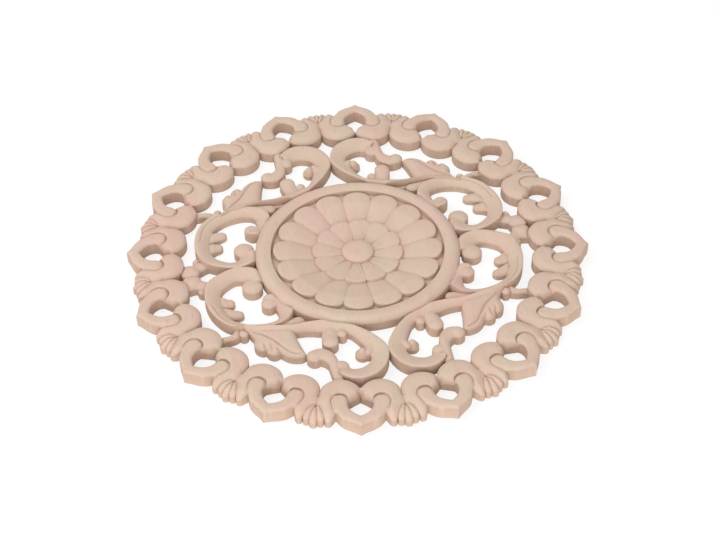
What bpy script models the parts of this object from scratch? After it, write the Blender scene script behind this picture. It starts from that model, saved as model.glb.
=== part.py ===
"""A round pierced onlay carved from one board.

In the middle a flower with sixteen petals stands in a raised ring. Around it lie four like
quarters of scrollwork, each with one scroll beside the Y axis, an acanthus leaf, and one scroll
beside the X axis. Sixteen hearts with fluted fans between them make the edge. The back is flat.

Every form is drawn in plan, in parts of the outer radius, for one heart or one quarter of the
scrollwork. Heights are in the same parts, measured down from the top of the hearts.
"""

import math

import bmesh
import bpy
import numpy as np
from mathutils.geometry import delaunay_2d_cdt

OUTER_R = 0.150  # metres, centre to the tips of the hearts
THICK = 0.010  # metres, flat back to the top of the hearts
HEARTS = 16
STEP = 2 * math.pi / HEARTS
LEAN = STEP / 2  # angle between a heart's axis and the axis of the fan beside it

TOL = 0.0033  # how far a chord may stray from its curve
CREST_TOL = 0.0100  # the same for the lines along a crown
TINY = 0.0004  # points closer than this are one
CLEAR = 0.005  # a form this far under another is hidden by it
GROOVE = 0.010  # depth of the groove round a form that lies over others
GROOVE_W = 0.014

LOBE = (0.080, 0.836)  # centre of a heart's right lobe, the heart's axis up the page
LOBE_R = 0.088

RING_R = 0.4440  # outer edge of the ring
RING_IN = 0.3765  # inner edge of the ring
BUTTON_R = 0.068  # round button in the flower
INNER_PETALS = 12
INNER_TIP = 0.196
INNER_NOTCH = 0.178
OUTER_TIP = 0.366
OUTER_NOTCH = 0.321


# ---------------------------------------------------------------- lines and outlines


def from_line(points, line, closed=False):
    """Distance of each point from a line, the nearest segment and how far along it."""
    start = line if closed or len(line) == 1 else line[:-1]
    end = np.roll(line, -1, axis=0) if closed or len(line) == 1 else line[1:]
    run = end - start
    offset = points[:, None] - start[None]
    t = (offset * run).sum(2) / np.maximum((run * run).sum(1), TINY**4)
    t = np.clip(t, 0, 1)
    away = np.linalg.norm(offset - t[..., None] * run, axis=2)
    nearest = away.argmin(1)
    pick = np.arange(len(points))
    return away[pick, nearest], nearest, t[pick, nearest]


def outside(points, outline):
    """Distance of each point from a closed outline, below zero inside it."""
    away = from_line(points, outline, closed=True)[0]
    x, y = points[:, 0:1], points[:, 1:2]
    ax, ay = outline.T
    bx, by = np.roll(outline, -1, axis=0).T
    crosses = (ay > y) != (by > y)
    rise = np.where(by == ay, 1, by - ay)
    inside = (crosses & (x < ax + (bx - ax) * (y - ay) / rise)).sum(1) % 2 == 1
    return np.where(inside, -away, away)


def signed_area(line):
    """Area inside a closed line, below zero where it runs clockwise."""
    (x, y), (nx, ny) = line.T, np.roll(line, -1, axis=0).T
    return (x * ny - nx * y).sum() / 2


def thin(rows, tol=TOL):
    """The rows that are needed to keep a run of points within tol of its shape."""
    if len(rows) < 3:
        return rows
    away = from_line(rows[1:-1, :2], rows[[0, -1], :2])[0]
    far = away.argmax() + 1
    if away[far - 1] < tol:
        return rows[[0, -1]]
    return np.vstack([thin(rows[: far + 1], tol)[:-1], thin(rows[far:], tol)])


def curve(points):
    """A fine smooth curve through the points; columns after x and y are carried along."""
    rows = np.array(points, float)
    rows = np.vstack([2 * rows[0] - rows[1], rows, 2 * rows[-1] - rows[-2]])
    out = []
    for a, b, c, d in zip(rows, rows[1:], rows[2:], rows[3:]):
        for t in np.arange(10) / 10:
            out.append(b + 0.5 * t * (c - a + t * (2 * a - 5 * b + 4 * c - d + t * (3 * (b - c) + d - a))))
    return np.array(out + [rows[-2]])


def smooth(points, tol=TOL):
    """A smooth run through the points with no more rows than it needs."""
    return thin(curve(points), tol)


def arc(cx, cy, r, start, end, tol=TOL):
    """Points of an arc from start to end, in degrees."""
    step = math.degrees(2 * math.acos(1 - tol / r))
    count = max(1, math.ceil(abs(end - start) / step))
    turn = np.radians(np.linspace(start, end, count + 1))
    return np.column_stack([cx + r * np.cos(turn), cy + r * np.sin(turn)])


def joined(*runs):
    """One closed outline from runs that follow each other, without doubled points."""
    rows = np.vstack([np.array(run, float)[:, :2] for run in runs])
    keep = np.linalg.norm(rows - np.roll(rows, 1, axis=0), axis=1) > TINY
    return rows[keep]


def mirrored(run):
    """The run on the other side of the Y axis, taken backwards."""
    return (np.array(run, float)[:, :2] * (-1, 1))[::-1]


def band(spine, start_round, end_round):
    """The outline of a strand whose spine has the columns x, y and half width."""
    along = np.gradient(spine[:, :2], axis=0)
    along /= np.linalg.norm(along, axis=1)[:, None]
    side = np.column_stack([-along[:, 1], along[:, 0]]) * spine[:, 2:3]
    right, left = thin(spine[:, :2] - side), thin((spine[:, :2] + side)[::-1])
    end = cap(spine[-1], along[-1]) if end_round else right[-1:]
    start = cap(spine[0], -along[0]) if start_round else right[:1]
    return joined(right, end, left, start)


def cap(row, way):
    """The round end of a strand that ends at the row and points the way given."""
    facing = math.degrees(math.atan2(way[1], way[0]))
    return arc(*row, facing - 90, facing + 90)


# ---------------------------------------------------------------- carved forms


class Form:
    """One carved form of the scrollwork, drawn in the quarter between the X and Y axes.

    Its face is a function of points and of their depth inside the outline. Its lines are the
    crowns that the mesh follows, and its cuts are (line, depth, width) of carved grooves. A laid
    form lies over those before it, and `laid` is the depth of the groove round it. Forms with
    none grow out of the others.
    """

    def __init__(self, outline, face, lines=(), cuts=(), laid=GROOVE, whole=False):
        self.outline = np.maximum(outline, 0) if type(self) is Form else outline
        self.face = face
        self.lines = [line[:, :2] for line in lines]
        self.cuts = cuts
        self.laid = laid
        self.whole = whole

    def fold(self, points):
        """The points as seen from the one quarter that is drawn."""
        return np.abs(points)

    def places(self):
        """The turns and mirrorings that put the drawn form in all its places."""
        return [np.diag(flip) for flip in ((1, 1), (-1, 1), (-1, -1), (1, -1))]

    def carve(self, points, z):
        """Height of the face once this form is carved on a face of height z."""
        at = self.fold(points)
        away = outside(at, self.outline)
        own = self.face(at, -away)
        for line, depth, width in self.cuts:
            own = own - depth * np.clip(1 - from_line(at, line)[0] / width, 0, 1) ** 2
        if self.laid:
            z = z - self.laid * np.clip(1 - away / GROOVE_W, 0, 1) ** 2
            return np.where(away <= TINY, own, z)
        return np.where(away <= TINY, np.maximum(z, own), z)


class EdgeForm(Form):
    """A form of the edge, drawn in or beside the right half of a heart that points up the page."""

    def fold(self, points):
        turn = np.abs(np.mod(np.arctan2(points[:, 0], points[:, 1]), STEP) - LEAN)
        r = np.linalg.norm(points, axis=1)
        return np.column_stack([r * np.sin(turn), r * np.cos(turn)])

    def places(self):
        out = []
        for k in range(HEARTS):
            c, s = math.cos((k + 0.5) * STEP), math.sin((k + 0.5) * STEP)
            for flip in (1,) if self.whole else (1, -1):
                out.append(np.diag((flip, 1)) @ np.array([(c, s), (-s, c)]))
        return out


class Disc(Form):
    """The flower and its ring, drawn whole."""

    def fold(self, points):
        return points

    def places(self):
        return [np.eye(2)]


def pillow(outline, level, crown, width, lines=(), cuts=(), kind=Form, fall=None, **how):
    """A form whose face swells from its edge and is level at the distance width from it."""

    def face(points, depth):
        z = level - crown * (1 - np.clip(depth / width, 0, 1)) ** 2
        return z if fall is None else z - fall(points)

    return kind(outline, face, lines, cuts, **how)


def ball(x, y, r, level, crown, **how):
    """A round knob."""
    return pillow(arc(x, y, r, 0, 360)[:-1], level, crown, r, (np.array([(x, y)]),), **how)


def strand(points, level, crown, tilt=0.0, last=None, start_round=False, end_round=True, **how):
    """A rounded strand along a spine of x, y, half width; tilt raises its left side."""
    spine = curve(points)
    last = level if last is None else last

    def face(at, depth):
        away, segment, t = from_line(at, spine[:, :2])
        a, b = spine[segment], spine[segment + 1]
        half = a[:, 2] + (b[:, 2] - a[:, 2]) * t
        run, offset = b[:, :2] - a[:, :2], at - a[:, :2]
        left = np.sign(run[:, 0] * offset[:, 1] - run[:, 1] * offset[:, 0])
        across = np.clip(left * away / half, -1, 1)
        u = (segment + t) / (len(spine) - 1)
        return level + (last - level) * u + tilt * across - crown * across**2

    return Form(band(spine, start_round, end_round), face, (thin(spine, CREST_TOL),), **how)


# ---------------------------------------------------------------- the edge: hearts and fans


def beside_fan(points):
    """Points drawn on a fan's axis, in the frame of the heart to its left."""
    a, b = np.array(points, float).T
    return np.column_stack([a * math.cos(LEAN) + b * math.sin(LEAN), b * math.cos(LEAN) - a * math.sin(LEAN)])


def tip_fall(points):
    """How far the flutes and tails have rounded over at the edge of the board."""
    r = np.linalg.norm(points, axis=1)
    return 0.028 * np.clip((r - 0.922) / 0.050, 0, 1) ** 2


def fan():
    """Three flutes that spread from a point between two hearts."""
    side = np.vstack([[(0.004, 0.860), (0.030, 0.890), (0.050, 0.930)], arc(0.0275, 0.953, 0.0145, -20, 146)])
    middle = arc(0, 0.962, 0.0155, -3.4, 183.4)[1:-1]
    between = np.array([(0, 0.900), (0.009, 0.928), side[-1]])
    crest = np.array([(0.009, 0.892), (0.028, 0.953)])
    cuts = [np.array([(0, 0.862), (0, 0.900)]), between, between * (-1, 1)]
    cuts = [(beside_fan(line), 0.009, 0.011) for line in cuts]
    lines = [beside_fan(line) for line in (crest, crest * (-1, 1), np.array([(0, 0.962)]))]
    outline = beside_fan(joined(side, middle, mirrored(side)))
    return pillow(outline, -0.004, 0.003, 0.01, lines, cuts, kind=EdgeForm, fall=tip_fall, whole=True)


def heart_curl():
    """The rolled end of a heart's head, from its outer side round to the hole."""
    return smooth([(0.094, 0.931), (0.107, 0.911), (0.116, 0.890), (0.118, 0.866), (0.108, 0.845),
                   (0.090, 0.834), (0.070, 0.835), (0.055, 0.845), (0.047, 0.864)])


def lobe():
    """The strand that rolls round a heart's lobe and runs out beside the fan."""
    x, y = LOBE
    drop = math.sqrt(LOBE_R**2 - x**2)
    start = math.degrees(math.atan2(-drop, -x))
    reach = x * math.sin(LEAN) + y * math.cos(LEAN)
    meets = reach - math.sqrt(reach**2 - (x**2 + y**2 - LOBE_R**2))
    fan_x, fan_y = meets * math.sin(LEAN), meets * math.cos(LEAN)
    end = math.degrees(math.atan2(fan_y - y, fan_x - x))
    tail = beside_fan([(0, 0.850), (0, 0.885), (-0.027, 0.920), (-0.045, 0.954)])
    tip = beside_fan([(-0.045, 0.954), (-0.053, 0.963), (-0.069, 0.959), (-0.081, 0.933)])
    mouth = smooth([(0.047, 0.866), (0.030, 0.853), (0.012, 0.841), (0, 0.833)])
    outline = joined(
        arc(x, y, LOBE_R, start + 360, end + 360),
        tail, smooth(tip),
        [(0.085, 0.900), (0.075, 0.870), (0.060, 0.865)],
        mouth,
    )
    crest = smooth([(0.010, 0.815), (0.035, 0.797), (0.063, 0.789), (0.095, 0.791), (0.123, 0.806),
                    (0.141, 0.832), (0.147, 0.862), (0.144, 0.892), (0.134, 0.917), (0.126, 0.930)], CREST_TOL)
    cuts = [(np.array([(0, 0.822), (0, 0.833)]), 0.034, 0.022), (mouth, 0.012, 0.016),
            (beside_fan([(0, meets), (0, 0.850)]), 0.008, 0.016)]
    return pillow(outline, -0.001, 0.014, 0.042, (crest,), cuts, kind=EdgeForm, fall=tip_fall)


def head():
    """The pointed arch at the top of a heart, rolled up at both ends."""
    side = smooth([(0, 1.000), (0.022, 0.986), (0.051, 0.972), (0.077, 0.954), (0.094, 0.931)])
    curl = heart_curl()
    hole = smooth([(0.047, 0.864), (0.051, 0.886), (0.042, 0.912), (0.022, 0.932), (0, 0.945)])
    outline = joined(side, curl, hole, mirrored(hole), mirrored(curl), mirrored(side))
    crest = smooth([(0, 0.972), (0.036, 0.946), (0.066, 0.925), (0.082, 0.895), (0.080, 0.862)], CREST_TOL)
    end = curl[len(curl) * 3 // 5:]
    cuts = [(line, 0.003, 0.014) for line in (curl, mirrored(curl))]
    cuts += [(line, 0.008, 0.022) for line in (end, mirrored(end))]
    return pillow(outline, 0.0, 0.006, 0.018, (crest, mirrored(crest)), cuts,
                  kind=EdgeForm, whole=True, laid=GROOVE / 3)


# ---------------------------------------------------------------- a quarter of the scrollwork


def leaf():
    """The acanthus leaf, with its lobes towards the edge of the board."""
    outline = joined(
        smooth([(0.327, 0.548), (0.345, 0.558), (0.368, 0.557), (0.392, 0.549), (0.412, 0.535),
                (0.430, 0.514)]),
        smooth([(0.430, 0.514), (0.446, 0.522), (0.463, 0.520), (0.478, 0.507), (0.484, 0.489)]),
        smooth([(0.484, 0.489), (0.499, 0.490), (0.514, 0.480), (0.525, 0.463), (0.527, 0.440),
                (0.522, 0.415), (0.534, 0.385), (0.548, 0.360)]),
        [(0.480, 0.372), (0.362, 0.392)],
        smooth([(0.352, 0.428), (0.348, 0.460), (0.341, 0.495), (0.334, 0.525), (0.327, 0.548)]),
    )
    midrib = smooth([(0.350, 0.543), (0.375, 0.536), (0.396, 0.520), (0.413, 0.496), (0.432, 0.466),
                     (0.453, 0.438), (0.484, 0.410), (0.528, 0.376)])
    veins = [np.array([(0.484, 0.489), (0.488, 0.462)]), np.array([(0.464, 0.500), (0.463, 0.470)]),
             np.array([(0.430, 0.514), (0.438, 0.494)])]
    crests = [smooth([(0.362, 0.510), (0.385, 0.480), (0.405, 0.445), (0.430, 0.420)]),
              np.array([(0.405, 0.527), (0.422, 0.502)]),
              np.array([(0.448, 0.500), (0.452, 0.466)]),
              np.array([(0.503, 0.470), (0.503, 0.430)])]
    cuts = [(midrib, 0.009, 0.013)] + [(vein, 0.006, 0.010) for vein in veins]
    return pillow(outline, -0.012, 0.016, 0.030, crests, cuts, laid=False)


def scroll_forms():
    """The strands, tongues, knobs and the leaf of one quarter, the lowest first."""
    return [
        # low web left in the hollow between the ring, the scrolls and the tongue
        strand([(0.190, 0.405, 0.024), (0.262, 0.368, 0.030), (0.312, 0.338, 0.044), (0.348, 0.302, 0.036)],
               -0.040, 0.004, last=-0.050),
        strand([(0.255, 0.388, 0.014), (0.330, 0.382, 0.016), (0.400, 0.380, 0.014)], -0.036, 0.004),
        # twig from the trunk to a heart, the bead beside it, and the tongue at the ring
        strand([(0.572, 0.345, 0.018), (0.585, 0.370, 0.019), (0.610, 0.385, 0.015), (0.640, 0.388, 0.015),
                (0.672, 0.390, 0.022)], -0.024, 0.007, end_round=False),
        strand([(0.548, 0.352, 0.013), (0.556, 0.370, 0.018), (0.558, 0.380, 0.018)], -0.016, 0.008),
        strand([(0.465, 0.372, 0.014), (0.415, 0.372, 0.019), (0.370, 0.363, 0.023), (0.326, 0.356, 0.024)],
               -0.018, 0.009),
        # buds on the X axis: a bead, a knob and the root that ties them to a heart
        strand([(0.700, 0.045, 0.016), (0.692, 0.070, 0.019), (0.690, 0.092, 0.019)], -0.022, 0.008),
        strand([(0.645, 0.072, 0.024), (0.675, 0.061, 0.025), (0.710, 0.047, 0.027), (0.740, 0.050, 0.026),
                (0.766, 0.060, 0.024)], -0.020, 0.008, end_round=False),
        ball(0.727, 0.028, 0.040, -0.012, 0.012, laid=False),
        # leafy frills inside the scroll beside the X axis
        strand([(0.660, 0.200, 0.026), (0.630, 0.228, 0.030), (0.598, 0.241, 0.030), (0.562, 0.248, 0.024)],
               -0.018, 0.008, last=-0.036),
        strand([(0.662, 0.130, 0.018), (0.641, 0.158, 0.030), (0.613, 0.172, 0.030), (0.590, 0.175, 0.025)],
               -0.020, 0.008, last=-0.035),
        # the scroll beside the X axis, from the hook at the ring round to its end
        strand([(0.425, 0.218, 0.027), (0.396, 0.220, 0.030), (0.373, 0.245, 0.033), (0.367, 0.282, 0.032),
                (0.378, 0.320, 0.026), (0.408, 0.345, 0.021), (0.455, 0.355, 0.020), (0.505, 0.350, 0.020),
                (0.552, 0.337, 0.023), (0.603, 0.306, 0.026), (0.636, 0.256, 0.029), (0.654, 0.197, 0.031),
                (0.655, 0.138, 0.033), (0.634, 0.082, 0.033), (0.590, 0.048, 0.030), (0.545, 0.030, 0.029),
                (0.500, 0.036, 0.034), (0.470, 0.062, 0.041), (0.466, 0.097, 0.043)],
               -0.014, 0.006, tilt=0.014, start_round=True, end_round=False, laid=GROOVE / 2,
               cuts=[(smooth([(0.560, 0.345), (0.605, 0.314), (0.640, 0.265),
                              (0.660, 0.200)]), 0.005, 0.010)]),
        ball(0.429, 0.230, 0.032, -0.013, 0.008, laid=False),
        ball(0.481, 0.115, 0.044, -0.012, 0.012, laid=False),
        # neck and bud beside the leaf's tip
        strand([(0.229, 0.765, 0.020), (0.228, 0.705, 0.020), (0.229, 0.655, 0.021), (0.232, 0.615, 0.022),
                (0.245, 0.583, 0.028), (0.270, 0.562, 0.031), (0.300, 0.561, 0.028)],
               -0.012, 0.008, end_round=False),
        ball(0.299, 0.566, 0.032, -0.009, 0.012, laid=False),
        # the scroll beside the Y axis, and the curl with its bead that grows inside it
        strand([(0.552, 0.354, 0.010), (0.500, 0.380, 0.014), (0.450, 0.391, 0.017), (0.400, 0.400, 0.015),
                (0.350, 0.404, 0.012), (0.300, 0.404, 0.015), (0.250, 0.411, 0.021), (0.200, 0.421, 0.026),
                (0.155, 0.437, 0.021), (0.122, 0.457, 0.018), (0.097, 0.484, 0.022), (0.071, 0.521, 0.029),
                (0.051, 0.562, 0.036), (0.038, 0.597, 0.038), (0.041, 0.632, 0.036), (0.062, 0.669, 0.037),
                (0.098, 0.693, 0.038), (0.140, 0.701, 0.037), (0.175, 0.690, 0.034), (0.200, 0.666, 0.028)],
               -0.012, 0.005, tilt=0.013, end_round=False, laid=GROOVE / 2),
        ball(0.204, 0.646, 0.032, -0.011, 0.010, laid=False),
        strand([(0.062, 0.556, 0.020), (0.072, 0.577, 0.019), (0.082, 0.592, 0.015)],
               -0.016, 0.010, laid=False),
        ball(0.104, 0.579, 0.029, -0.012, 0.042, laid=False),
        leaf(),
        # the two tongues inside the scroll
        strand([(0.156, 0.436, 0.014), (0.163, 0.452, 0.018), (0.165, 0.468, 0.020)],
               -0.024, 0.008, last=-0.013, laid=False),
        strand([(0.202, 0.430, 0.026), (0.213, 0.455, 0.032), (0.219, 0.485, 0.034), (0.221, 0.502, 0.034)],
               -0.020, 0.009, last=-0.009, laid=False),
    ]


# ---------------------------------------------------------------- the flower and its ring


def petal_edge(count, turn, tip, notch):
    """The scalloped edge of a round of petals."""
    out = []
    for k in range(count):
        for across in (-1, -0.7, 0.7):
            a = turn + (k + across / 2) * 2 * math.pi / count
            r = notch + (tip - notch) * math.sqrt(1 - across**2)
            out.append((r * math.cos(a), r * math.sin(a)))
    return np.array(out)


def circle(r, count, turn=0.0):
    """A ring of points."""
    a = turn + np.arange(count) * 2 * math.pi / count
    return np.column_stack([r * np.cos(a), r * np.sin(a)])


def spokes(count, turn, *radii):
    """Lines from the middle outwards through points at the radii."""
    return [np.array([(r * math.cos(a), r * math.sin(a)) for r in radii])
            for a in turn + np.arange(count) * 2 * math.pi / count]


def across_petal(points, count, turn):
    """How far each point is across its petal, 0 at its middle and 1 in the groove beside it."""
    part = (np.arctan2(points[:, 1], points[:, 0]) - turn) * count / (2 * math.pi)
    return np.abs(part - np.round(part)) * 2


def flower_face(points, depth):
    """Height of the ring and of the flower inside it."""
    r = np.linalg.norm(points, axis=1)
    middle, half = (RING_R + RING_IN) / 2, (RING_R - RING_IN) / 2
    ring = -0.001 - np.where(r > middle, 0.018, 0.007) * np.clip(np.abs(r - middle) / half, 0, 1) ** 2
    v = across_petal(points, HEARTS, LEAN)
    edge = OUTER_NOTCH + (OUTER_TIP - OUTER_NOTCH) * np.sqrt(1 - v**2)
    outer = -0.005 - 0.025 * np.clip((0.30 - r) / 0.10, 0, 1) - 0.008 * v**3
    outer -= 0.004 * np.clip(1 - (edge - r) / 0.012, 0, 1) ** 2
    z = np.where(r <= edge + TINY, outer, -0.030)
    v = across_petal(points, INNER_PETALS, math.pi / INNER_PETALS)
    edge = INNER_NOTCH + (INNER_TIP - INNER_NOTCH) * np.sqrt(1 - v**2)
    inner = -0.018 - 0.014 * np.clip((edge - r) / 0.12, 0, 1) - 0.006 * v**3
    inner -= 0.002 * np.clip(1 - (edge - r) / 0.010, 0, 1) ** 2
    z = np.where(r <= edge + TINY, inner, z)
    button = -0.012 - 0.012 * np.clip(r / BUTTON_R, 0, 1) ** 4
    z = np.where(r <= BUTTON_R + TINY, button, z)
    return np.where(r >= RING_IN - TINY, ring, z)


def flower():
    """The flower in its ring."""
    foot = 0.003  # width of the steep step at the edge of a round of petals
    inner_turn = math.pi / INNER_PETALS
    closed = [
        circle(RING_IN, 2 * HEARTS), circle(RING_IN - foot, 2 * HEARTS),
        circle((RING_IN + RING_R) / 2, 2 * HEARTS),
        petal_edge(HEARTS, LEAN, OUTER_TIP, OUTER_NOTCH),
        petal_edge(HEARTS, LEAN, OUTER_TIP + foot, OUTER_NOTCH + foot),
        petal_edge(INNER_PETALS, inner_turn, INNER_TIP, INNER_NOTCH),
        petal_edge(INNER_PETALS, inner_turn, INNER_TIP + foot, INNER_NOTCH + foot),
        circle(BUTTON_R, 2 * INNER_PETALS), circle(BUTTON_R * 0.6, INNER_PETALS),
    ]
    lines = [np.vstack([line, line[:1]]) for line in closed]
    lines += spokes(HEARTS, 0, INNER_TIP + 2 * foot, OUTER_NOTCH)
    lines += spokes(HEARTS, LEAN, 0.215, 0.31)
    lines += spokes(INNER_PETALS, 0, BUTTON_R, INNER_NOTCH)
    lines += spokes(INNER_PETALS, inner_turn, 0.10, INNER_TIP)
    return Disc(circle(RING_R, 5 * HEARTS // 2), flower_face, lines)


# ---------------------------------------------------------------- the board


def hidden(points, over):
    """Whether each point lies well inside one of the forms."""
    out = np.zeros(len(points), bool)
    for form in over:
        out |= outside(form.fold(points), form.outline) < -CLEAR
    return out


def seen_outline(form, over):
    """The outline without the stretches that later forms hide."""
    rows = list(form.outline @ form.places()[0])
    i = 0
    while i < len(rows) and len(rows) > 3:
        before, after = rows[i - 1], rows[(i + 1) % len(rows)]
        chord = np.linspace(before, after, 9)
        if hidden(np.vstack([rows[i][None], chord]), over).all():
            rows.pop(i)
        else:
            i += 1
    return np.array(rows) @ form.places()[0].T


def seen_runs(form, over):
    """The runs of the form's lines that later forms leave in sight."""
    for line in (*form.lines, *(cut[0] for cut in form.cuts)):
        run = []
        for point, covered in zip(line, hidden(line @ form.places()[0], over)):
            if not covered:
                run.append(point)
            elif run:
                yield np.array(run)
                run = []
        if run:
            yield np.array(run)


def plan(forms):
    """Vertices and triangles of the pierced board seen from above."""
    points, edges, faces = [], [], []
    for n, form in enumerate(forms):
        outline = seen_outline(form, forms[n + 1:])
        runs = list(seen_runs(form, forms[n + 1:]))
        for place in form.places():
            for line in runs:
                edges.extend((i, i + 1) for i in range(len(points), len(points) + len(line) - 1))
                points.extend(np.round(line @ place, 6))
            ring = list(range(len(points), len(points) + len(outline)))
            points.extend(np.round(outline @ place, 6))
            faces.append(ring if signed_area(outline @ place) > 0 else ring[::-1])
    found = delaunay_2d_cdt(points, edges, faces, 0, TINY, True)
    kept = [tuple(face) for face, source in zip(found[2], found[5]) if source]
    return np.array([tuple(v) for v in found[0]]), kept


def rim_loops(triangles):
    """The loops of edges that belong to one triangle only, each in its triangle's direction."""
    sides = {(a, b) for t in triangles for a, b in zip(t, t[1:] + t[:1])}
    following = {a: b for a, b in sides if (b, a) not in sides}
    loops = []
    while following:
        start = next(iter(following))
        loop = [start]
        at = following.pop(start)
        while at != start:
            loop.append(at)
            at = following.pop(at)
        loops.append(loop)
    return loops


def carved_board():
    """The onlay: the carved face, the upright sawn walls and the flat back."""
    forms = [*scroll_forms(), fan(), lobe(), head(), flower()]
    flat, triangles = plan(forms)
    loops = rim_loops(triangles)
    z = np.full(len(flat), -0.04)
    for form in forms:
        z = form.carve(flat, z)
    z = THICK + OUTER_R * z
    mesh = bmesh.new()
    top = {i: mesh.verts.new((*(flat[i] * OUTER_R), z[i])) for i in sorted({i for t in triangles for i in t})}
    for t in triangles:
        mesh.faces.new([top[i] for i in t])
    rim = [i for loop in loops for i in loop]
    low = {i: mesh.verts.new((*(flat[i] * OUTER_R), 0)) for i in rim}
    for loop in loops:
        for a, b in zip(loop, loop[1:] + loop[:1]):
            mesh.faces.new((top[b], top[a], low[a], low[b]))
    place = {i: n for n, i in enumerate(rim)}
    rings = [[place[i] for i in loop] for loop in loops]
    area = [signed_area(flat[loop]) for loop in loops]
    edge = area.index(max(area))
    rings = [ring if a > 0 else ring[::-1] for ring, a in zip(rings, area)]
    found = delaunay_2d_cdt(flat[rim].tolist(), [], rings, 0, 0, True)
    for face, source in zip(found[2], found[5]):
        if source == [edge]:
            mesh.faces.new([low[rim[found[3][i][0]]] for i in reversed(face)])
    bmesh.ops.recalc_face_normals(mesh, faces=mesh.faces)
    data = bpy.data.meshes.new("carved_onlay")
    mesh.to_mesh(data)
    mesh.free()
    data.shade_smooth()
    data.set_sharp_from_angle(angle=math.radians(35))
    return data


def bare_wood():
    """Pale unfinished wood."""
    wood = bpy.data.materials.new("bare_wood")
    wood.use_nodes = True
    shader = wood.node_tree.nodes["Principled BSDF"]
    shader.inputs["Base Color"].default_value = (0.64, 0.45, 0.36, 1)
    shader.inputs["Roughness"].default_value = 0.75
    shader.inputs["Metallic"].default_value = 0.0
    return wood


for old in list(bpy.data.objects):
    bpy.data.objects.remove(old, do_unlink=True)

onlay = bpy.data.objects.new("carved_onlay", carved_board())
onlay.data.materials.append(bare_wood())
bpy.context.scene.collection.objects.link(onlay)
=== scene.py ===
"""A round carved wood onlay, lying on a pale floor."""

import math

import bmesh
import bpy
import numpy as np
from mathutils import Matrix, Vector, kdtree
from mathutils.geometry import delaunay_2d_cdt


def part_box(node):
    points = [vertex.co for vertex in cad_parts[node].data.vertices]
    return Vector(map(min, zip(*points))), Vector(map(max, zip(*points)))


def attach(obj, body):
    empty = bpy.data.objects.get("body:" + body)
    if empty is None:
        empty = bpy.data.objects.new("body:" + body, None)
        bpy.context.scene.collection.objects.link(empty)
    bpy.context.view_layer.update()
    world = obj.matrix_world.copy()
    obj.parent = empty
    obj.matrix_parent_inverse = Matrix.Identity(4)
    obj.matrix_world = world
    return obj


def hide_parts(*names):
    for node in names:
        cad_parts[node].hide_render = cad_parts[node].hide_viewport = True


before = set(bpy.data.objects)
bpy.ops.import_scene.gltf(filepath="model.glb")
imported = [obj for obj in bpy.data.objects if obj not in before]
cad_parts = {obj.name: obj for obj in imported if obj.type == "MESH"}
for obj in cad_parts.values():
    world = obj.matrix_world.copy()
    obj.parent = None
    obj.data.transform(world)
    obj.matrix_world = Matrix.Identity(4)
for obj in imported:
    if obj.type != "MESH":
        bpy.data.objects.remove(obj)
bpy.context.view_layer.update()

# ---------------------------------------------------------------- hearts and fans
# Sixteen hearts make the edge. Each is a pointed arch with rolled ends over two round lobes, sawn
# through in the middle. The strand of each lobe runs out beside the fan of flutes that fills the
# notch to the next heart. They are carved with gouges, and stand highest on the board.

# All forms are drawn in plan, in parts of the board's outer radius, and their heights are in the
# same parts, measured down from the top of the hearts.
HEARTS = 16
STEP = 2 * math.pi / HEARTS
LEAN = STEP / 2  # angle between a heart's axis and the axis of the fan beside it
FINE = 0.00025  # how far a chord may stray from its curve
TINY = 0.0004  # points nearer to each other than this are one
GROOVE = 0.010  # depth of the groove round a form that lies over others
GROOVE_W = 0.014


def from_line(points, line, closed=False):
    """Distance of each point from a line, the nearest segment and how far along it."""
    start = line if closed or len(line) == 1 else line[:-1]
    end = np.roll(line, -1, axis=0) if closed or len(line) == 1 else line[1:]
    run = end - start
    offset = points[:, None] - start[None]
    t = (offset * run).sum(2) / np.maximum((run * run).sum(1), TINY**4)
    t = np.clip(t, 0, 1)
    away = np.linalg.norm(offset - t[..., None] * run, axis=2)
    nearest = away.argmin(1)
    pick = np.arange(len(points))
    return away[pick, nearest], nearest, t[pick, nearest]


def outside(points, outline):
    """Distance of each point from a closed outline, below zero inside it."""
    away = from_line(points, outline, closed=True)[0]
    x, y = points[:, 0:1], points[:, 1:2]
    ax, ay = outline.T
    bx, by = np.roll(outline, -1, axis=0).T
    crosses = (ay > y) != (by > y)
    rise = np.where(by == ay, 1, by - ay)
    inside = (crosses & (x < ax + (bx - ax) * (y - ay) / rise)).sum(1) % 2 == 1
    return np.where(inside, -away, away)


def thin(rows):
    """The rows that are needed to keep a run of points within FINE of its shape."""
    if len(rows) < 3:
        return rows
    away = from_line(rows[1:-1, :2], rows[[0, -1], :2])[0]
    far = away.argmax() + 1
    if away[far - 1] < FINE:
        return rows[[0, -1]]
    return np.vstack([thin(rows[: far + 1])[:-1], thin(rows[far:])])


def curve(points):
    """A fine smooth curve through the points; columns after x and y are carried along."""
    rows = np.array(points, float)
    rows = np.vstack([2 * rows[0] - rows[1], rows, 2 * rows[-1] - rows[-2]])
    out, steps = [], 10
    for a, b, c, d in zip(rows, rows[1:], rows[2:], rows[3:]):
        for t in np.arange(steps) / steps:
            bend = 2 * a - 5 * b + 4 * c - d + t * (3 * (b - c) + d - a)
            out.append(b + 0.5 * t * (c - a + t * bend))
    return np.array(out + [rows[-2]])


def smooth(points):
    """A smooth run through the points with no more rows than it needs."""
    return thin(curve(points))


def arc(cx, cy, r, start, end):
    """Points of an arc from start to end, in degrees."""
    step = math.degrees(2 * math.acos(1 - FINE / r))
    count = max(1, math.ceil(abs(end - start) / step))
    turn = np.radians(np.linspace(start, end, count + 1))
    return np.column_stack([cx + r * np.cos(turn), cy + r * np.sin(turn)])


def joined(*runs):
    """One closed outline from runs that follow each other, without doubled points."""
    rows = np.vstack([np.array(run, float)[:, :2] for run in runs])
    keep = np.linalg.norm(rows - np.roll(rows, 1, axis=0), axis=1) > TINY
    return rows[keep]


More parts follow.
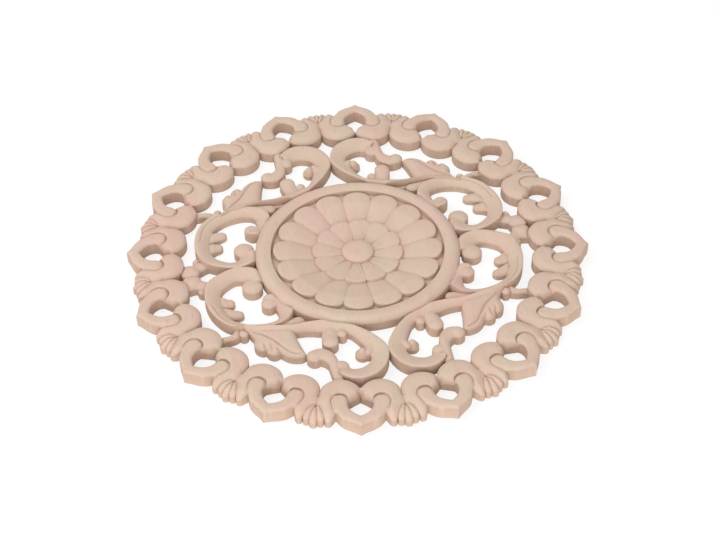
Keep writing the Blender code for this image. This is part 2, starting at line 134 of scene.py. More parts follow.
def mirrored(run):
    """The run on the other side of the Y axis, taken backwards."""
    return (np.array(run, float)[:, :2] * (-1, 1))[::-1]


class Form:
    """One carved form of the scrollwork, drawn in the quarter between the X and Y axes.

    Its face is a function of points and of their depth inside the outline. Its lines are the
    crowns that the mesh follows, and its cuts are (line, depth, width) of carved grooves. A laid
    form lies over those before it, and `laid` is the depth of the groove round it. Forms with
    none grow out of the others.
    """

    def __init__(self, outline, face, lines=(), cuts=(), laid=GROOVE, whole=False):
        self.outline = np.maximum(outline, 0) if type(self) is Form else outline
        self.face = face
        self.lines = [line[:, :2] for line in lines]
        self.cuts = cuts
        self.laid = laid
        self.whole = whole

    def fold(self, points):
        """The points as seen from the drawn form."""
        return points

    def places(self):
        """The turns and mirrorings that put the drawn form in all its places in the quarter."""
        return [np.eye(2)]

    def carve(self, points, z):
        """Height of the face once this form is carved on a face of height z."""
        at = self.fold(points)
        reach = GROOVE_W + TINY
        low, high = self.outline.min(0) - reach, self.outline.max(0) + reach
        near = np.all((at > low) & (at < high), axis=1)
        at = at[near]
        away = outside(at, self.outline)
        own = self.face(at, -away)
        for line, depth, width in self.cuts:
            own = own - depth * np.clip(1 - from_line(at, line)[0] / width, 0, 1) ** 2
        before = z[near]
        if self.laid:
            before = before - self.laid * np.clip(1 - away / GROOVE_W, 0, 1) ** 2
        else:
            own = np.maximum(before, own)
        out = z.copy()
        out[near] = np.where(away <= TINY, own, before)
        return out


def pillow(outline, level, crown, width, lines=(), cuts=(), kind=Form, fall=None, **how):
    """A form whose face is flat at the level, and falls by the crown in the width at its edge."""

    def face(points, depth):
        z = level - crown * (1 - np.clip(depth / width, 0, 1)) ** 2
        return z if fall is None else z - fall(points)

    return kind(outline, face, lines, cuts, **how)


LOBE = (0.080, 0.836)  # centre of a heart's right lobe, the heart's axis up the page
LOBE_R = 0.088
TIP_R = 0.922  # where the flutes and tails begin to round over
TIP_RUN = 0.050  # how far further out they end
TIP_DROP = 0.028
FLUTE_CUT = (0.009, 0.011)  # depth and width of the groove between two flutes


class EdgeForm(Form):
    """A form of the edge, drawn in or beside the right half of a heart that points up the page.

    It stands on both sides of the heart's axis. A whole form is drawn on both sides itself.
    """

    def fold(self, points):
        turn = np.abs(np.mod(np.arctan2(points[:, 0], points[:, 1]), STEP) - LEAN)
        r = np.linalg.norm(points, axis=1)
        return np.column_stack([r * np.sin(turn), r * np.cos(turn)])

    def places(self):
        out = []
        for k in range(-HEARTS // 4, 1):  # the hearts that reach into the quarter
            c, s = math.cos((k + 0.5) * STEP), math.sin((k + 0.5) * STEP)
            for flip in (1,) if self.whole else (1, -1):
                out.append(np.diag((flip, 1)) @ np.array([(c, s), (-s, c)]))
        return out


def beside_fan(points):
    """Points drawn on a fan's axis, in the frame of the heart to its left."""
    a, b = np.array(points, float).T
    c, s = math.cos(LEAN), math.sin(LEAN)
    return np.column_stack([a * c + b * s, b * c - a * s])


def tip_fall(points):
    """How far the flutes and tails have rounded over at the edge of the board."""
    r = np.linalg.norm(points, axis=1)
    return TIP_DROP * np.clip((r - TIP_R) / TIP_RUN, 0, 1) ** 2


def fan():
    """Three flutes that spread from a point between two hearts."""
    side = [(0.004, 0.860), (0.030, 0.890), (0.050, 0.930)]
    side = np.vstack([side, arc(0.0275, 0.953, 0.0145, -20, 146)])
    middle = arc(0, 0.962, 0.0155, -3.4, 183.4)[1:-1]
    between = np.array([(0, 0.900), (0.009, 0.928), side[-1]])
    crest = np.array([(0.009, 0.892), (0.028, 0.953)])
    cuts = [np.array([(0, 0.862), (0, 0.900)]), between, between * (-1, 1)]
    cuts = [(beside_fan(line), *FLUTE_CUT) for line in cuts]
    lines = [beside_fan(line) for line in (crest, crest * (-1, 1), np.array([(0, 0.962)]))]
    outline = beside_fan(joined(side, middle, mirrored(side)))
    return pillow(outline, level=-0.004, crown=0.003, width=0.01, lines=lines, cuts=cuts,
                  kind=EdgeForm, fall=tip_fall, whole=True)


def heart_curl():
    """The rolled end of a heart's head, from its outer side round to the hole."""
    return smooth([(0.094, 0.931), (0.107, 0.911), (0.116, 0.890), (0.118, 0.866), (0.108, 0.845),
                   (0.090, 0.834), (0.070, 0.835), (0.055, 0.845), (0.047, 0.864)])


def lobe():
    """The strand that rolls round a heart's lobe and runs out beside the fan."""
    x, y = LOBE
    drop = math.sqrt(LOBE_R**2 - x**2)
    start = math.degrees(math.atan2(-drop, -x))
    reach = x * math.sin(LEAN) + y * math.cos(LEAN)
    meets = reach - math.sqrt(reach**2 - (x**2 + y**2 - LOBE_R**2))
    fan_x, fan_y = meets * math.sin(LEAN), meets * math.cos(LEAN)
    end = math.degrees(math.atan2(fan_y - y, fan_x - x))
    tail = beside_fan([(0, 0.850), (0, 0.885), (-0.027, 0.920), (-0.045, 0.954)])
    tip = beside_fan([(-0.045, 0.954), (-0.053, 0.963), (-0.069, 0.959), (-0.081, 0.933)])
    mouth = smooth([(0.047, 0.866), (0.030, 0.853), (0.012, 0.841), (0, 0.833)])
    outline = joined(
        arc(x, y, LOBE_R, start + 360, end + 360),
        tail, smooth(tip),
        [(0.085, 0.900), (0.075, 0.870), (0.060, 0.865)],
        mouth,
    )
    crest = smooth([(0.010, 0.815), (0.035, 0.797), (0.063, 0.789), (0.095, 0.791), (0.123, 0.806),
                    (0.141, 0.832), (0.147, 0.862), (0.144, 0.892), (0.134, 0.917), (0.126, 0.930)])
    cuts = [(np.array([(0, 0.822), (0, 0.833)]), 0.034, 0.022), (mouth, 0.012, 0.016),
            (beside_fan([(0, meets), (0, 0.850)]), 0.008, 0.016)]
    return pillow(outline, level=-0.001, crown=0.014, width=0.042, lines=(crest,), cuts=cuts,
                  kind=EdgeForm, fall=tip_fall)


def head():
    """The pointed arch at the top of a heart, rolled up at both ends."""
    side = smooth([(0, 1.000), (0.022, 0.986), (0.051, 0.972), (0.077, 0.954), (0.094, 0.931)])
    curl = heart_curl()
    hole = smooth([(0.047, 0.864), (0.051, 0.886), (0.042, 0.912), (0.022, 0.932), (0, 0.945)])
    outline = joined(side, curl, hole, mirrored(hole), mirrored(curl), mirrored(side))
    crest = smooth([(0, 0.972), (0.036, 0.946), (0.066, 0.925), (0.082, 0.895), (0.080, 0.862)])
    end = curl[len(curl) * 3 // 5:]
    cuts = [(line, 0.003, 0.014) for line in (curl, mirrored(curl))]
    cuts += [(line, 0.008, 0.022) for line in (end, mirrored(end))]
    return pillow(outline, level=0.0, crown=0.006, width=0.018, lines=(crest, mirrored(crest)),
                  cuts=cuts, kind=EdgeForm, whole=True, laid=GROOVE / 3)


# ---------------------------------------------------------------- the scrollwork
# A quarter of it: one large scroll by the Y axis, one by the X axis that hooks on to the ring, an
# acanthus leaf on the trunk between them, and the tongues, buds and twigs that tie it to the ring
# and to the hearts. Each strand is rounded over with a gouge and lies over the ones before it.


def band(spine, start_round, end_round):
    """The outline of a strand whose spine has the columns x, y and half width."""
    along = np.gradient(spine[:, :2], axis=0)
    along /= np.linalg.norm(along, axis=1)[:, None]
    side = np.column_stack([-along[:, 1], along[:, 0]]) * spine[:, 2:3]
    right, left = thin(spine[:, :2] - side), thin((spine[:, :2] + side)[::-1])
    end = cap(spine[-1], along[-1]) if end_round else right[-1:]
    start = cap(spine[0], -along[0]) if start_round else right[:1]
    return joined(right, end, left, start)


def cap(row, way):
    """The round end of a strand that ends at the row and points the way given."""
    facing = math.degrees(math.atan2(way[1], way[0]))
    return arc(*row, facing - 90, facing + 90)


def ball(x, y, r, level, crown, **how):
    """A round knob with its top at the level and its edge lower by the crown."""
    return pillow(arc(x, y, r, 0, 360)[:-1], level, crown, r, **how)


def strand(points, level, crown, tilt=0.0, last=None, start_round=False, end_round=True, **how):
    """A rounded strand along a spine of x, y, half width.

    Its ridge runs from the level to `last`, its sides fall by the crown, and `tilt` raises the
    left side and lowers the right.
    """
    spine = curve(points)
    last = level if last is None else last

    def face(at, depth):
        away, segment, t = from_line(at, spine[:, :2])
        a, b = spine[segment], spine[segment + 1]
        half = a[:, 2] + (b[:, 2] - a[:, 2]) * t
        run, offset = b[:, :2] - a[:, :2], at - a[:, :2]
        left = np.sign(run[:, 0] * offset[:, 1] - run[:, 1] * offset[:, 0])
        across = np.clip(left * away / half, -1, 1)
        u = (segment + t) / (len(spine) - 1)
        return level + (last - level) * u + tilt * across - crown * across**2

    return Form(band(spine, start_round, end_round), face, (thin(spine),), **how)


def leaf():
    """The acanthus leaf, with its lobes towards the edge of the board."""
    outline = joined(
        smooth([(0.327, 0.548), (0.345, 0.558), (0.368, 0.557), (0.392, 0.549), (0.412, 0.535),
                (0.430, 0.514)]),
        smooth([(0.430, 0.514), (0.446, 0.522), (0.463, 0.520), (0.478, 0.507), (0.484, 0.489)]),
        smooth([(0.484, 0.489), (0.499, 0.490), (0.514, 0.480), (0.525, 0.463), (0.527, 0.440),
                (0.522, 0.415), (0.534, 0.385), (0.548, 0.360)]),
        [(0.480, 0.372), (0.362, 0.392)],
        smooth([(0.352, 0.428), (0.348, 0.460), (0.341, 0.495), (0.334, 0.525), (0.327, 0.548)]),
    )
    midrib = smooth([(0.350, 0.543), (0.375, 0.536), (0.396, 0.520), (0.413, 0.496), (0.432, 0.466),
                     (0.453, 0.438), (0.484, 0.410), (0.528, 0.376)])
    veins = [np.array([(0.484, 0.489), (0.488, 0.462)]), np.array([(0.464, 0.500), (0.463, 0.470)]),
             np.array([(0.430, 0.514), (0.438, 0.494)])]
    crests = [smooth([(0.362, 0.510), (0.385, 0.480), (0.405, 0.445), (0.430, 0.420)]),
              np.array([(0.405, 0.527), (0.422, 0.502)]),
              np.array([(0.448, 0.500), (0.452, 0.466)]),
              np.array([(0.503, 0.470), (0.503, 0.430)])]
    cuts = [(midrib, 0.009, 0.013)] + [(vein, 0.006, 0.010) for vein in veins]
    return pillow(outline, level=-0.012, crown=0.016, width=0.030, lines=crests, cuts=cuts,
                  laid=False)


def scroll_forms():
    """The strands, tongues, knobs and the leaf of one quarter, the lowest first."""
    return [
        # low web left in the hollow between the ring, the scrolls and the tongue
        strand([(0.190, 0.405, 0.024), (0.262, 0.368, 0.030), (0.312, 0.338, 0.044),
                (0.348, 0.302, 0.036)],
               -0.040, 0.004, last=-0.050),
        strand([(0.255, 0.388, 0.014), (0.330, 0.382, 0.016), (0.400, 0.380, 0.014)],
               -0.036, 0.004),
        # twig from the trunk to a heart, the bead beside it, and the tongue at the ring
        strand([(0.572, 0.345, 0.018), (0.585, 0.370, 0.019), (0.610, 0.385, 0.015),
                (0.640, 0.388, 0.015), (0.672, 0.390, 0.022)], -0.024, 0.007, end_round=False),
        strand([(0.548, 0.352, 0.013), (0.556, 0.370, 0.018), (0.558, 0.380, 0.018)],
               -0.016, 0.008),
        strand([(0.465, 0.372, 0.014), (0.415, 0.372, 0.019), (0.370, 0.363, 0.023),
                (0.326, 0.356, 0.024)],
               -0.018, 0.009),
        # buds on the X axis: a bead, a knob and the root that ties them to a heart
        strand([(0.700, 0.045, 0.016), (0.692, 0.070, 0.019), (0.690, 0.092, 0.019)],
               -0.022, 0.008),
        strand([(0.645, 0.072, 0.024), (0.675, 0.061, 0.025), (0.710, 0.047, 0.027),
                (0.740, 0.050, 0.026), (0.766, 0.060, 0.024)], -0.020, 0.008, end_round=False),
        ball(0.727, 0.028, 0.040, -0.012, 0.012, laid=False),
        # leafy frills inside the scroll beside the X axis
        strand([(0.660, 0.200, 0.026), (0.630, 0.228, 0.030), (0.598, 0.241, 0.030),
                (0.562, 0.248, 0.024)],
               -0.018, 0.008, last=-0.036),
        strand([(0.662, 0.130, 0.018), (0.641, 0.158, 0.030), (0.613, 0.172, 0.030),
                (0.590, 0.175, 0.025)],
               -0.020, 0.008, last=-0.035),
        # the scroll beside the X axis, from the hook at the ring round to its end
        strand([(0.425, 0.218, 0.027), (0.396, 0.220, 0.030), (0.373, 0.245, 0.033),
                (0.367, 0.282, 0.032), (0.378, 0.320, 0.026), (0.408, 0.345, 0.021),
                (0.455, 0.355, 0.020), (0.505, 0.350, 0.020), (0.552, 0.337, 0.023),
                (0.603, 0.306, 0.026), (0.636, 0.256, 0.029), (0.654, 0.197, 0.031),
                (0.655, 0.138, 0.033), (0.634, 0.082, 0.033), (0.590, 0.048, 0.030),
                (0.545, 0.030, 0.029), (0.500, 0.036, 0.034), (0.470, 0.062, 0.041),
                (0.466, 0.097, 0.043)],
               -0.014, 0.006, tilt=0.014, start_round=True, end_round=False, laid=GROOVE / 2,
               cuts=[(smooth([(0.560, 0.345), (0.605, 0.314), (0.640, 0.265),
                              (0.660, 0.200)]), 0.005, 0.010)]),
        ball(0.429, 0.230, 0.032, -0.013, 0.008, laid=False),
        ball(0.481, 0.115, 0.044, -0.012, 0.012, laid=False),
        # neck and bud beside the leaf's tip
        strand([(0.229, 0.765, 0.020), (0.228, 0.705, 0.020), (0.229, 0.655, 0.021),
                (0.232, 0.615, 0.022), (0.245, 0.583, 0.028), (0.270, 0.562, 0.031),
                (0.300, 0.561, 0.028)],
               -0.012, 0.008, end_round=False),
        ball(0.299, 0.566, 0.032, -0.009, 0.012, laid=False),
        # the scroll beside the Y axis, and the curl with its bead that grows inside it
        strand([(0.552, 0.354, 0.010), (0.500, 0.380, 0.014), (0.450, 0.391, 0.017),
                (0.400, 0.400, 0.015), (0.350, 0.404, 0.012), (0.300, 0.404, 0.015),
                (0.250, 0.411, 0.021), (0.200, 0.421, 0.026), (0.155, 0.437, 0.021),
                (0.122, 0.457, 0.018), (0.097, 0.484, 0.022), (0.071, 0.521, 0.029),
                (0.051, 0.562, 0.036), (0.038, 0.597, 0.038), (0.041, 0.632, 0.036),
                (0.062, 0.669, 0.037), (0.098, 0.693, 0.038), (0.140, 0.701, 0.037),
                (0.175, 0.690, 0.034), (0.200, 0.666, 0.028)],
               -0.012, 0.005, tilt=0.013, end_round=False, laid=GROOVE / 2),
        ball(0.204, 0.646, 0.032, -0.011, 0.010, laid=False),
        strand([(0.062, 0.556, 0.020), (0.072, 0.577, 0.019), (0.082, 0.592, 0.015)],
               -0.016, 0.010, laid=False),
        ball(0.104, 0.579, 0.029, -0.012, 0.042, laid=False),
        leaf(),
        # the two tongues inside the scroll
        strand([(0.156, 0.436, 0.014), (0.163, 0.452, 0.018), (0.165, 0.468, 0.020)],
               -0.024, 0.008, last=-0.013, laid=False),
        strand([(0.202, 0.430, 0.026), (0.213, 0.455, 0.032), (0.219, 0.485, 0.034),
                (0.221, 0.502, 0.034)],
               -0.020, 0.009, last=-0.009, laid=False),
    ]


# ---------------------------------------------------------------- the flower and its ring
# The middle of the board isn't pierced. A rounded ring stands round a sunk flower of sixteen broad
# petals, with twelve short ones on top of them and a round button in the middle.

RING_R = 0.4440  # outer edge of the ring
RING_IN = 0.3765  # inner edge of the ring
RING_POINTS = 160
RING_TOP = -0.001
GROUND = -0.030  # the sunk ground between the petals and the ring
OUTER_TOP = -0.005  # the broad petals, the short ones and the button
INNER_TOP = -0.018
BUTTON_TOP = -0.012
OUTER_TIP = 0.366  # the broad petals' reach at their middle, and at the notch between two
OUTER_NOTCH = 0.321
INNER_PETALS = 12
INNER_TIP = 0.196
INNER_NOTCH = 0.178
FLUTES = 3 * INNER_PETALS  # fine flutes at the foot of the short petals
FLUTES_END = 0.128  # where they have run out, over FLUTES_RUN
FLUTES_RUN = 0.030
CROWN_FOOT = 0.13  # where the crowns of the short petals meet the flutes
BUTTON_R = 0.068


def petal_edge(count, turn, tip, notch):
    """The scalloped edge of a round of petals."""
    out = []
    for k in range(count):
        for across in (-1, -0.95, -0.8, -0.55, -0.28, 0, 0.28, 0.55, 0.8, 0.95):
            a = turn + (k + across / 2) * 2 * math.pi / count
            r = notch + (tip - notch) * math.sqrt(1 - across**2)
            out.append((r * math.cos(a), r * math.sin(a)))
    return np.array(out)


def circle(r, count):
    """A round of evenly spread points."""
    a = np.arange(count) * 2 * math.pi / count
    return np.column_stack([r * np.cos(a), r * np.sin(a)])


def spokes(count, turn, *radii):
    """Lines from the middle outwards through points at the radii."""
    return [np.array([(r * math.cos(a), r * math.sin(a)) for r in radii])
            for a in turn + np.arange(count) * 2 * math.pi / count]


def across_petal(points, count, turn):
    """How far each point is across its petal, 0 at its middle and 1 in the groove beside it."""
    part = (np.arctan2(points[:, 1], points[:, 0]) - turn) * count / (2 * math.pi)
    return np.abs(part - np.round(part)) * 2


def flower_face(points, depth):
    """Height of the ring and of the flower inside it."""
    r = np.linalg.norm(points, axis=1)
    middle, half = (RING_R + RING_IN) / 2, (RING_R - RING_IN) / 2
    shoulder = np.where(r > middle, 0.018, 0.007)  # the ring falls further on its outer side
    ring = RING_TOP - shoulder * np.clip(np.abs(r - middle) / half, 0, 1) ** 2

    # broad petals, sunk towards the middle, with a groove between them and a softened edge
    v = across_petal(points, HEARTS, LEAN)
    edge = OUTER_NOTCH + (OUTER_TIP - OUTER_NOTCH) * np.sqrt(1 - v**2)
    outer = OUTER_TOP - 0.025 * np.clip((0.30 - r) / 0.10, 0, 1) - 0.008 * v**3
    outer -= 0.004 * np.clip(1 - (edge - r) / 0.012, 0, 1) ** 2
    z = np.where(r <= edge + TINY, outer, GROUND)

    # short petals, sunk towards the button, with the flutes at their foot
    v = across_petal(points, INNER_PETALS, math.pi / INNER_PETALS)
    edge = INNER_NOTCH + (INNER_TIP - INNER_NOTCH) * np.sqrt(1 - v**2)
    inner = INNER_TOP - 0.014 * np.clip((edge - r) / 0.12, 0, 1) - 0.006 * v**3
    inner -= 0.002 * np.clip(1 - (edge - r) / 0.010, 0, 1) ** 2
    v = across_petal(points, FLUTES, math.pi / FLUTES)
    inner -= 0.0030 * v**2 * np.clip((FLUTES_END - r) / FLUTES_RUN, 0, 1)
    z = np.where(r <= edge + TINY, inner, z)

    button = BUTTON_TOP - 0.012 * np.clip(r / BUTTON_R, 0, 1) ** 4
    z = np.where(r <= BUTTON_R + TINY, button, z)
    return np.where(r >= RING_IN - TINY, ring, z)


def flower():
    """The flower in its ring."""
    foot = 0.003  # width of the steep step at the edge of a round of petals
    inner_turn = math.pi / INNER_PETALS
    flute_turn = math.pi / FLUTES
    closed = [
        circle(RING_IN, RING_POINTS), circle(RING_IN - foot, RING_POINTS),
        circle((RING_IN + RING_R) / 2, RING_POINTS),
        petal_edge(HEARTS, LEAN, OUTER_TIP, OUTER_NOTCH),
        petal_edge(HEARTS, LEAN, OUTER_TIP + foot, OUTER_NOTCH + foot),
        petal_edge(INNER_PETALS, inner_turn, INNER_TIP, INNER_NOTCH),
        petal_edge(INNER_PETALS, inner_turn, INNER_TIP + foot, INNER_NOTCH + foot),
        circle(BUTTON_R, 2 * INNER_PETALS), circle(BUTTON_R * 0.6, INNER_PETALS),
    ]
    lines = [np.vstack([line, line[:1]]) for line in closed]
    # grooves and crowns of the broad petals, of the short ones and of the flutes
    lines += spokes(HEARTS, 0, INNER_TIP + 2 * foot, OUTER_NOTCH)
    lines += spokes(HEARTS, LEAN, 0.215, 0.31)
    lines += spokes(INNER_PETALS, 0, BUTTON_R, INNER_NOTCH)
    lines += spokes(INNER_PETALS, inner_turn, CROWN_FOOT, INNER_TIP)
    for turn in (inner_turn, inner_turn + flute_turn):
        lines += spokes(FLUTES, turn, BUTTON_R + 2 * TINY, CROWN_FOOT)
    return Form(circle(RING_R, RING_POINTS), flower_face, lines)


# ---------------------------------------------------------------- the carved board
# One flat board of pale, close-grained wood, 10 mm thick, sawn through and carved with all the
# forms above. A quarter is carved as one skin, its rim is drawn down to the flat back as sawn
# walls, and it is mirrored to the whole board.

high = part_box("carved_onlay")[1]
THICK = high.z
OUTER_R = high.x / math.cos(LEAN)  # the four tips nearest the axes are half a step off them
START = -0.04  # level of the face before the first form is carved
CLEAR = 0.002  # a form this far inside the outline of another is hidden by it
FOOT = 0.0028  # width of the steep foot where one form stands over another
ARRIS = 0.0045  # how far the sanded edge of the face drops
ARRIS_W = 0.009
ARRIS_ROW = ARRIS_W * 0.4  # distance from the rim of a row of points on the sanded edge
ARRIS_OFF = ARRIS_W * 0.3  # how near that row comes to a rim that curves
SPACING = 0.0060  # between the points of the carved face, and of the flower
FLOWER_SPACING = 1.4 * SPACING
ROW_STEP = 0.866  # between the rows of an even spread of points, in gaps
KEEP_OFF = 0.55  # how near the spread comes to a line, in gaps
GROOVE_ROWS = (-0.9, -0.4, 0.4, 0.9)  # rows of points across a carved groove, in its widths
SAME_SPOT = 0.000001  # metres; points nearer than this are one
SEAM = 0.00003  # metres; nearer points are merged once the quarters are joined
FULL_SLOPE = 0.35  # mean slope up to its neighbours where a hollow is deepest
UPRIGHT = 0.05  # a face whose normal rises less than this is a sawn wall


def hidden(points, over):
    """Whether each point lies inside one of the forms."""
    out = np.zeros(len(points), bool)
    for form in over:
        out |= outside(form.fold(points), form.outline) < -CLEAR
    return out


def spaced(line, gap=SPACING):
    """The line with no piece longer than the gap."""
    out = []
    for a, b in zip(line, line[1:]):
        count = max(1, math.ceil(np.linalg.norm(b - a) / gap))
        out.extend(a + (b - a) * k / count for k in range(count))
    return np.array(out + [line[-1]])


def beside(line, distance):
    """The line moved to its left."""
    along = np.gradient(line, axis=0)
    along /= np.maximum(np.linalg.norm(along, axis=1), TINY)[:, None]
    return line + np.column_stack([-along[:, 1], along[:, 0]]) * distance


def runs(line, keep):
    """The stretches of a line whose points are to be kept."""
    out, run = [], []
    for point, kept in zip(line, keep):
        if kept:
            run.append(point)
        elif run:
            out.append(np.array(run))
            run = []
    return out + [np.array(run)] if run else out


def area(line):
    """Area inside a closed line, below zero where it runs clockwise."""
    (x, y), (nx, ny) = line.T, np.roll(line, -1, axis=0).T
    return (x * ny - nx * y).sum() / 2


def creases(form, over):
    """The lines of the form that the mesh follows, where they are in sight in the quarter."""
    closed = np.vstack([form.outline, form.outline[:1]])
    lines = [closed, *form.lines]
    if form.laid:
        lines.append(beside(spaced(closed), -FOOT if area(form.outline) > 0 else FOOT))
    for line, _, width in form.cuts:
        lines.append(line)
        if len(line) > 1:
            lines += [beside(spaced(line), row * width) for row in GROOVE_ROWS]
    for place in form.places():
        for line in lines:
            put = spaced(line @ place) if len(line) > 1 else line @ place
            for run in runs(put, (put > -TINY).all(1) & ~hidden(put, over)):
                yield np.maximum(run, 0)


def rim_loops(triangles):
    """The loops of edges that belong to one triangle only, each in its triangle's direction."""
    sides = {(a, b) for t in triangles for a, b in zip(t, t[1:] + t[:1])}
    following = {a: b for a, b in sides if (b, a) not in sides}
    loops = []
    while following:
        start = next(iter(following))
        loop = [start]
        at = following.pop(start)
        while at != start:
            loop.append(at)
            at = following.pop(at)
        loops.append(loop)
    return loops


def sawn_quarter(forms):
    """The loops that bound the quarter of the board: its rim, its holes and its cut sides."""
    points, faces = [], []
    for form in forms:
        for place in form.places():
            put = np.maximum(form.outline @ place, 0)
            if (put.max(0) > TINY).all():
                ring = list(range(len(points), len(points) + len(put)))
                points.extend(np.round(put, 6))  # so that neighbouring places share points
                faces.append(ring if area(put) > 0 else ring[::-1])
    found = delaunay_2d_cdt(points, [], faces, 0, TINY, True)
    flat = np.array([tuple(v) for v in found[0]])
    kept = [tuple(face) for face, source in zip(found[2], found[5]) if source]
    return [flat[loop] for loop in rim_loops(kept)]


def finder(points):
    """A tree that finds the nearest of the points."""
    tree = kdtree.KDTree(len(points))
    for i, (x, y) in enumerate(points):
        tree.insert((x, y, 0), i)
    tree.balance()
    return tree


def within(points, loops):
    """Whether each point lies inside the board, by the loops round it and round its holes."""
    inside = np.zeros(len(points), bool)
    x, y = points.T
    for loop in loops:
        for (ax, ay), (bx, by) in zip(loop, np.roll(loop, -1, axis=0)):
            if ay != by:
                inside ^= ((ay > y) != (by > y)) & (x < ax + (y - ay) / (by - ay) * (bx - ax))
    return inside


def carved_skin(forms):
    """Points and triangles of the quarter's carved face, in metres."""
    loops = sawn_quarter(forms)
    rim = []
    for loop in loops:
        for a, b in zip(loop, np.roll(loop, -1, axis=0)):
            if max(a[0], b[0]) > TINY and max(a[1], b[1]) > TINY:
                rim.extend(spaced(np.array([a, b]), SPACING / 4))
    edge = finder(rim)
    points, edges = [], []
    for loop in loops:
        ring = spaced(np.vstack([loop, loop[:1]]))[:-1]
        ids = list(range(len(points), len(points) + len(ring)))
        points.extend(ring)
        edges.extend(zip(ids, ids[1:] + ids[:1]))
    for n, form in enumerate(forms):
        for run in creases(form, forms[n + 1:]):
            edges.extend((i, i + 1) for i in range(len(points), len(points) + len(run) - 1))
            points.extend(run)
    for loop in loops:
        for spot in beside(spaced(np.vstack([loop, loop[:1]]))[:-1], ARRIS_ROW):
            if spot.min() > TINY and edge.find((*spot, 0))[2] > ARRIS_OFF:
                points.append(spot)
    tree = finder(points)
    for inner, outer, gap in ((0, RING_R, FLOWER_SPACING), (RING_R, 1, SPACING)):
        for row in range(int(outer / (gap * ROW_STEP)) + 1):
            for step in range(int(outer / gap) + 1):
                spot = ((step + row % 2 / 2) * gap, row * gap * ROW_STEP)
                off = tree.find((*spot, 0))[2]
                if inner < math.hypot(*spot) < outer and off > gap * KEEP_OFF:
                    points.append(spot)
    found = delaunay_2d_cdt([Vector(p) for p in points], edges, [], 0, TINY / 4, False)
    flat = np.array([tuple(v) for v in found[0]])
    corners = np.array(found[2])
    whole = within(flat[corners].mean(1), loops) & (flat[corners].max(1).min(1) > TINY / 10)
    kept = [tuple(face) for face in corners[whole].tolist()]
    z = np.full(len(flat), START)
    for form in forms:
        z = form.carve(flat, z)
    away = np.array([edge.find((x, y, 0))[2] for x, y in flat])
    z = z - ARRIS * np.clip(1 - away / ARRIS_W, 0, 1) ** 2
    face = np.column_stack([flat * OUTER_R, THICK + z * OUTER_R])
    return face, kept


def closed_below(face, triangles):
    """The carved face with upright walls down from its rim, but for the axes, and a flat back."""
    loops = rim_loops(triangles)
    rim = [i for loop in loops for i in loop]
    low = {i: len(face) + n for n, i in enumerate(rim)}
    back = face[rim] * (1, 1, 0)
    shell = list(triangles)
    rings, n = [], 0
    for loop in loops:
        rings.append(list(range(n, n + len(loop))))
        n += len(loop)
        for a, b in zip(loop, loop[1:] + loop[:1]):
            if face[[a, b], :2].max(0).min() > TINY * TINY:
                shell += [(b, a, low[a]), (b, low[a], low[b])]
    holes = [area(back[ring, :2]) < 0 for ring in rings]
    rings = [ring[::-1] if hole else ring for ring, hole in zip(rings, holes)]
    found = delaunay_2d_cdt([Vector(p[:2]) for p in back], [], rings, 0, 0, True)
    for tri, source in zip(found[2], found[5]):
        if source and not any(holes[k] for k in source):
            shell.append(tuple(len(face) + found[3][i][0] for i in reversed(tri)))
    return np.vstack([face, back]), shell


def hollows(points, faces, number):
    """How deep each point lies in a groove, from 0 to 1, by the slopes up to its neighbours."""
    total, count = np.zeros(len(points)), np.zeros(len(points))
    for face in faces:
        ids = [number[i] for i in face]
        for a, b in zip(ids, ids[1:] + ids[:1]):
            away = math.hypot(*(points[b] - points[a])[:2])
            if away > SAME_SPOT and points[a][2] > 0 and points[b][2] > 0:
                total[a] += (points[b][2] - points[a][2]) / away
                count[a] += 1
                total[b] += (points[a][2] - points[b][2]) / away
                count[b] += 1
    return np.clip(total / np.maximum(count, 1) / FULL_SLOPE, 0, 1)


forms = [*scroll_forms(), fan(), lobe(), head(), flower()]
points, faces = closed_below(*carved_skin(forms))
used = sorted({i for face in faces for i in face})
number = {i: n for n, i in enumerate(used)}
mesh = bpy.data.meshes.new("onlay_carving")
mesh.from_pydata(points[used].tolist(), [], [tuple(number[i] for i in face) for face in faces])
onlay = bpy.data.objects.new("onlay_carving", mesh)
bpy.context.scene.collection.objects.link(onlay)
bpy.ops.object.select_all(action="DESELECT")
onlay.select_set(True)
bpy.context.view_layer.objects.active = onlay

# how deep each point lies in a groove, which the wood darkens as painted shade
deep = onlay.data.attributes.new("hollow", "FLOAT", "POINT")
deep.data.foreach_set("value", hollows(points[used], faces, number))

whole = onlay.modifiers.new("whole board", "MIRROR")
whole.use_axis = (True, True, False)
whole.use_mirror_merge = True
whole.merge_threshold = SAME_SPOT
bpy.ops.object.modifier_apply(modifier=whole.name)
bpy.ops.object.mode_set(mode="EDIT")
bpy.ops.mesh.select_all(action="SELECT")
bpy.ops.mesh.remove_doubles(threshold=SEAM)
bpy.ops.mesh.normals_make_consistent(inside=False)
bpy.ops.object.mode_set(mode="OBJECT")
bpy.ops.object.shade_smooth_by_angle(angle=math.radians(40))

# the edges between the face and the sawn walls stay sharp
carved = bmesh.new()
carved.from_mesh(onlay.data)
for edge in carved.edges:
    slopes = sorted(abs(face.normal.z) for face in edge.link_faces)
    if slopes[0] < UPRIGHT < slopes[1]:
        edge.smooth = False
carved.to_mesh(onlay.data)
carved.free()
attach(onlay, "root")
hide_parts("carved_onlay")

# ---------------------------------------------------------------- bare wood
# Pale pinkish timber glued up from strips, with fine straight grain along Y, sanded and left
# without varnish. The sawn walls are a little browner, partly from their sawing and partly as
# painted shade, and painted shade darkens the deepest grooves.


def feed(tree, socket, value):
    """Gives a socket a number, a colour or the output of another node."""
    if isinstance(value, (int, float)):
        socket.default_value = value
    elif isinstance(value, tuple):
        socket.default_value = (*value, 1)
    else:
        tree.links.new(value, socket)


def maths(tree, operation, *values):
    """A Math node; each value is a number or a socket."""
    node = tree.nodes.new("ShaderNodeMath")
    node.operation = operation
    for socket, value in zip(node.inputs, values):
        feed(tree, socket, value)
    return node.outputs[0]


